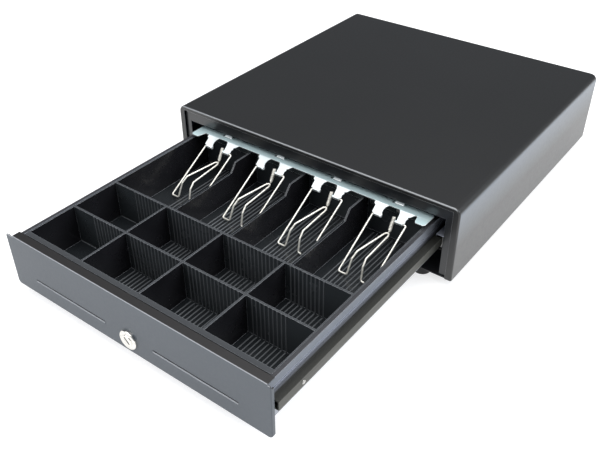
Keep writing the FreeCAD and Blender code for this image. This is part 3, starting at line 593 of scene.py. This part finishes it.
def floor_ribs(bm, y0, y1, margin):
    """Low ribs along the floor, front to back."""
    for x in rib_places(margin):
        outline = [(across, y0, FLOOR_Z + rise) for across, rise in rib_section(x)]
        add_prism(bm, outline, Vector((0, y1 - y0, 0)))


def wall_ribs(bm, y, top, margin):
    """Upright ribs on the front face of a cross wall."""
    for x in rib_places(margin):
        outline = [(across, y - rise, FLOOR_Z) for across, rise in rib_section(x)]
        add_prism(bm, outline, Vector((0, 0, top - FLOOR_Z)))


def make_insert_ribs():
    """Ribs in the cups and bays, and beads at the foot of the cross walls."""
    gap = 1.5 * MM                # between a rib's end and a wall
    cup_margin, bay_margin = 3 * MM, 8 * MM
    bay_back = INSERT_HIGH.y - 6 * MM
    top = INSERT_HIGH.z - 0.1 * MM
    half = DIVIDER / 2

    def front_row(bm):
        floor_ribs(bm, FRONT_RIM + gap, COIN_WALL - half - gap, cup_margin)
        wall_ribs(bm, COIN_WALL - half, top, cup_margin)

    def rear_row(bm):
        floor_ribs(bm, COIN_WALL + half + gap, BILL_WALL - half - gap, cup_margin)
        wall_ribs(bm, BILL_WALL - half, top, cup_margin)

    def bays(bm):
        floor_ribs(bm, BILL_WALL + half + gap, bay_back, bay_margin)

    def beads(bm):
        """Moulded radius at the foot of each cross wall, beyond the ribs."""
        size = 0.9 * MM
        section = [(SUNK, -SUNK), (-size, -SUNK), (-size * 0.7, size * 0.3),
                   (-size * 0.3, size * 0.7), (SUNK, size)]
        first, last = RIBBED_HALF + 3 * MM, INSERT_HIGH.x - 3 * MM
        for wall in (COIN_WALL, BILL_WALL):
            for side in (-1, 1):
                start = side * first
                outline = [(start, wall - half + y, FLOOR_Z + z) for y, z in section]
                add_prism(bm, outline, Vector((side * last - start, 0, 0)))

    for name, build in (("cup_corner_beads", beads), ("front_cup_ribs", front_row),
                        ("rear_cup_ribs", rear_row), ("bill_bay_ribs", bays)):
        piece = mesh_from(name, build, "drawer", "insert_plastic")
        # ribs and beads wear the lighter finish, a painted highlight
        piece.data.materials[0] = RIB_HIGHLIGHT_FINISH


# ---------------------------------------------------------------- clip bar
BAR_TOP = BAR_HIGH.z - 2.5 * MM        # the raised tabs stand above the flat
SHEET = 1.2 * MM
BAR_FRONT = DRAWER_FACE + 288.5 * MM   # where the flat strip folds down into the plates
HINGE = (277.5, 62.3)                  # mm behind the drawer's face and above the frame's zero
AXLE = Vector((0, DRAWER_FACE + HINGE[0] * MM, HINGE[1] * MM))

# Outlines of the plates beside each stem: mm to the right of the clip's centre, and how far
# down the slope. The left one is shouldered outside and has a hooked ear at its inner foot,
# the right one has a wide shoulder and a narrow notched foot.
LEFT_PLATE = [
    (-24, 0), (-24, 0.22), (-21.5, 0.34), (-21, 0.95), (-11.5, 1.0), (-10.5, 1.12), (-8.6, 1.1),
    (-8.2, 0.86), (-9.4, 0.8), (-10, 0.55), (-8.8, 0.26), (-6.5, 0.08), (-5.5, 0),
]
RIGHT_PLATE = [
    (7, 0), (8.6, 0.1), (10, 0.35), (10.6, 0.8), (11.6, 0.98), (19.5, 1.0), (21, 0.9),
    (20.4, 0.66), (21.8, 0.5), (21, 0.36), (23.4, 0.3), (26, 0.1), (28, 0),
]
LUGS = ((-18.5, -9), (9, 18.5))        # mm from the clip's centre


def sloped(x, down):
    """Point on the plates' slope: down is 0 at the fold and 1 at the axle."""
    fold = Vector((0, BAR_FRONT, BAR_TOP))
    foot = Vector((0, AXLE.y - 1.5 * MM, AXLE.z + 1.6 * MM))
    p = fold.lerp(foot, down)
    return Vector((x, p.y, p.z))


def add_plate(bm, centre, outline):
    """Sloping plate beside the stem of the clip at the centre."""
    points = [sloped(centre + x * MM, down) for x, down in outline]
    inward = Vector((0, 1.0, -0.93)).normalized() * SHEET
    add_prism(bm, points, inward)


def add_flat(bm, outline):
    """Level sheet at the bar's top; outline is (x, y) pairs."""
    add_prism(bm, [(x, y, BAR_TOP) for x, y in outline], Vector((0, 0, -SHEET)))


def add_tab(bm, centre):
    """Raised tab that stakes the stem's spring."""
    x0, x1 = centre - 3 * MM, centre + 8 * MM
    y0, y1 = BAR_HIGH.y - 6.2 * MM, BAR_HIGH.y - 3.0 * MM
    foot, top = BAR_TOP - 0.4 * MM, BAR_HIGH.z
    outline = [(x0, y0, foot), (x0, y0, BAR_TOP + 0.6 * MM), (x0, y1 - 0.5 * MM, top),
               (x0, y1, top - 0.1 * MM), (x0, y1 + 0.8 * MM, foot)]
    add_prism(bm, outline, Vector((x1 - x0, 0, 0)))


def add_apron(bm, centre):
    """Flange screwed to the insert's back wall."""
    half = 38 * MM
    x, front, back, low = centre - half, BAR_HIGH.y - SHEET, BAR_HIGH.y, BAR_LOW.z
    outline = [(x, front, BAR_TOP), (x, back, BAR_TOP), (x, back, low), (x, front, low)]
    add_prism(bm, outline, Vector((2 * half, 0, 0)))


def add_lug(bm, x0, x1):
    """Sheet curled round the clip's axle."""
    ring = [(x0, AXLE.y + y, AXLE.z + z) for y, z in circle(0, 0, 2.1 * MM, 16)]
    add_prism(bm, ring, Vector((x1 - x0, 0, 0)))


def make_clip_bar():
    """The bar as one folded sheet: flat strip, shaped plates, lugs on the axles, tabs, arms."""
    def build(bm):
        half, back = BAR_HIGH.x, BAR_HIGH.y
        corner = 4 * MM
        strip = [(-half, BAR_FRONT), (half, BAR_FRONT)]
        strip += arc(half - corner, back - corner, corner, 0, 90)
        strip += arc(-half + corner, back - corner, corner, 90, 180)
        add_flat(bm, strip)
        root, tip = BAR_FRONT + 0.1 * MM, AXLE.y - 0.9 * MM
        for side in (-1, 1):
            inner, outer = side * (half - 15 * MM), side * half
            arm = [(inner, root), (inner + side * 2.5 * MM, tip + 2 * MM)]
            arm += [(inner + side * 4.5 * MM, tip), (outer - side * 3 * MM, tip)]
            arm += [(outer, tip + 3 * MM), (outer, root)]
            add_flat(bm, arm)
        for centre in CLIP_CENTRES:
            add_plate(bm, centre, LEFT_PLATE)
            add_plate(bm, centre, RIGHT_PLATE)
            add_tab(bm, centre)
            add_apron(bm, centre)
        for centre in CLIP_CENTRES:
            for x0, x1 in LUGS:
                add_lug(bm, centre + x0 * MM, centre + x1 * MM)

    bar = mesh_from("clip_bar_sheet", build, "drawer", "bar_zinc")
    rounding = bar.modifiers.new("rounding", "BEVEL")
    rounding.width = 0.3 * MM
    rounding.segments = 2
    rounding.limit_method = "ANGLE"
    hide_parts("clip_bar")


def make_spring_eyes():
    """Dark eyes beside the tabs, where the springs are hooked in."""
    def build(bm):
        for centre in CLIP_CENTRES:
            middle = (centre - 5.6 * MM, BAR_HIGH.y - 4.8 * MM)
            ring = [(x, y, BAR_TOP - 0.3 * MM) for x, y in circle(*middle, 1.4 * MM, 12)]
            add_prism(bm, ring, Vector((0, 0, 0.4 * MM)))

    mesh_from("spring_eyes", build, "drawer", "guide_plastic")


# ---------------------------------------------------------------- bill clips
def clip_routes(centre):
    """Corners of one clip's wires: the open leg, then the leg with the loop and foot.

    Millimetres to the right of the clip's centre, behind the drawer's face and up.
    """
    hook = (210.0, 22.3)
    reach = 0.73                  # the open leg's length as a share of the other's
    open_end = tuple(h + (k - h) * reach for h, k in zip(HINGE, hook))
    leg = [(22.5, *open_end), (23.0, *HINGE), (11.0, *HINGE)]
    loop = [
        (-11.0, *HINGE), (-20.0, *HINGE), (-20.0, *hook), (-9.0, *hook),
        (-8.0, 218.0, 40.0), (-6.5, 226.0, 46.0), (2.3, 268.5, 48.6), (5.5, 271.5, 48.6),
        (7.7, 266.5, 48.1), (7.0, 223.0, 44.0), (8.0, 215.5, 38.0), (9.5, *hook),
        (14.0, 209.5, 22.3),
    ]
    return [[(centre + x * MM, DRAWER_FACE + b * MM, z * MM) for x, b, z in route]
            for route in (leg, loop)]


def stem_coil(centre):
    """Close-wound spring from the axle down to the clip's loop."""
    top = Vector((centre + 5.5 * MM, DRAWER_FACE + 281.0 * MM, 65.0 * MM))
    foot = Vector((centre + 5.5 * MM, DRAWER_FACE + 272.2 * MM, 49.4 * MM))
    along = foot - top
    side = Vector((1, 0, 0))
    across = along.cross(side).normalized()
    turns, steps, radius = 11, 14, 1.5 * MM
    tail = 0.12                   # share of the length over which the last turn closes in
    points = []
    for k in range(turns * steps + 1):
        t = k / (turns * steps)
        taper = min(1.0, (1.0 - t) / tail)
        angle = 2 * math.pi * turns * t
        swing = side * math.cos(angle) + across * math.sin(angle)
        points.append(top + along * t + swing * radius * taper)
    return points


def make_bill_clips():
    """The four clips: bent wire in the CAD wire's place, and the coiled stem."""
    wire_radius, coil_wire_radius, bend = 1.0 * MM, 0.72 * MM, 2.4 * MM
    for number, (node, centre) in enumerate(zip(CLIP_NODES, CLIP_CENTRES), 1):
        body = "clip_%d" % number
        wire = wire_curve("clip_wire_%d" % number, clip_routes(centre), wire_radius, bend,
                          body, "clip_wire")
        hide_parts(node)
        coil = wire_curve("clip_spring_%d" % number, [stem_coil(centre)], coil_wire_radius, 0,
                          body, "clip_wire")
        coil.data.bevel_resolution = 3


# ---------------------------------------------------------------- drawer trim
def make_slot_trim():
    """Fine turned-out lip under each media slot, and the bridge that ties the left one."""
    slot_z, slot_half = 25.0 * MM, 1.1 * MM
    inner, outer = 34.0 * MM, 143.0 * MM
    face = DRAWER_FACE

    def lips(bm):
        section = ((0.3, -0.9), (-0.6, -0.6), (-0.7, -0.4), (0.3, 0.6))
        for side in (-1, 1):
            start = side * inner
            outline = [(start, face + y * MM, slot_z - slot_half + z * MM) for y, z in section]
            add_prism(bm, outline, Vector((side * (outer - inner), 0, 0)))

    def bridge(bm):
        width, depth, height = 1.6 * MM, 0.9 * MM, 2.3 * MM
        x, y, z = -84.0 * MM, face + 0.15 * MM, slot_z - slot_half - 0.05 * MM
        outline = [(x, y, z), (x, y + depth, z), (x, y + depth, z + height), (x, y, z + height)]
        add_prism(bm, outline, Vector((width, 0, 0)))

    mesh_from("slot_lips", lips, "drawer", "panel_paint")
    mesh_from("slot_bridge", bridge, "drawer", "panel_paint")


def make_slide_rivets():
    """Domed rivet heads on the drawer members' outer faces."""
    seat, back, up = 183.8 * MM, 43.0 * MM, 41.9 * MM
    dome = ((2.4, 0.0), (2.35, 0.5), (1.9, 0.85), (0.8, 1.0))      # mm: radius, rise

    def build(bm):
        for side in (-1, 1):
            rings = []
            for radius, rise in dome:
                x = side * (seat + rise * MM)
                rings.append([bm.verts.new((x, DRAWER_FACE + back + y, up + z))
                              for y, z in circle(0, 0, radius * MM, 16)])
            for low, high in zip(rings, rings[1:]):
                for k in range(len(low)):
                    n = (k + 1) % len(low)
                    bm.faces.new((low[k], low[n], high[n], high[k]))
            bm.faces.new(rings[-1])

    mesh_from("slide_rivets", build, "drawer", "screw_steel", smooth=True)


# ---------------------------------------------------------------- CAD nodes
def finish_cad_nodes():
    """Gives every CAD node its slot's finish."""
    slots = {part["node"]: part["material_slot"] for part in frame["record"]["subparts"]}
    for name, node in NODES.items():
        node.data.materials.clear()
        node.data.materials.append(FINISH[slots[name]])


finish_cad_nodes()
make_insert_ribs()
make_clip_bar()
make_bill_clips()
make_slot_trim()
make_spring_eyes()
make_slide_rivets()
make_camera()
make_floor()
make_light()

bpy.context.view_layer.update()
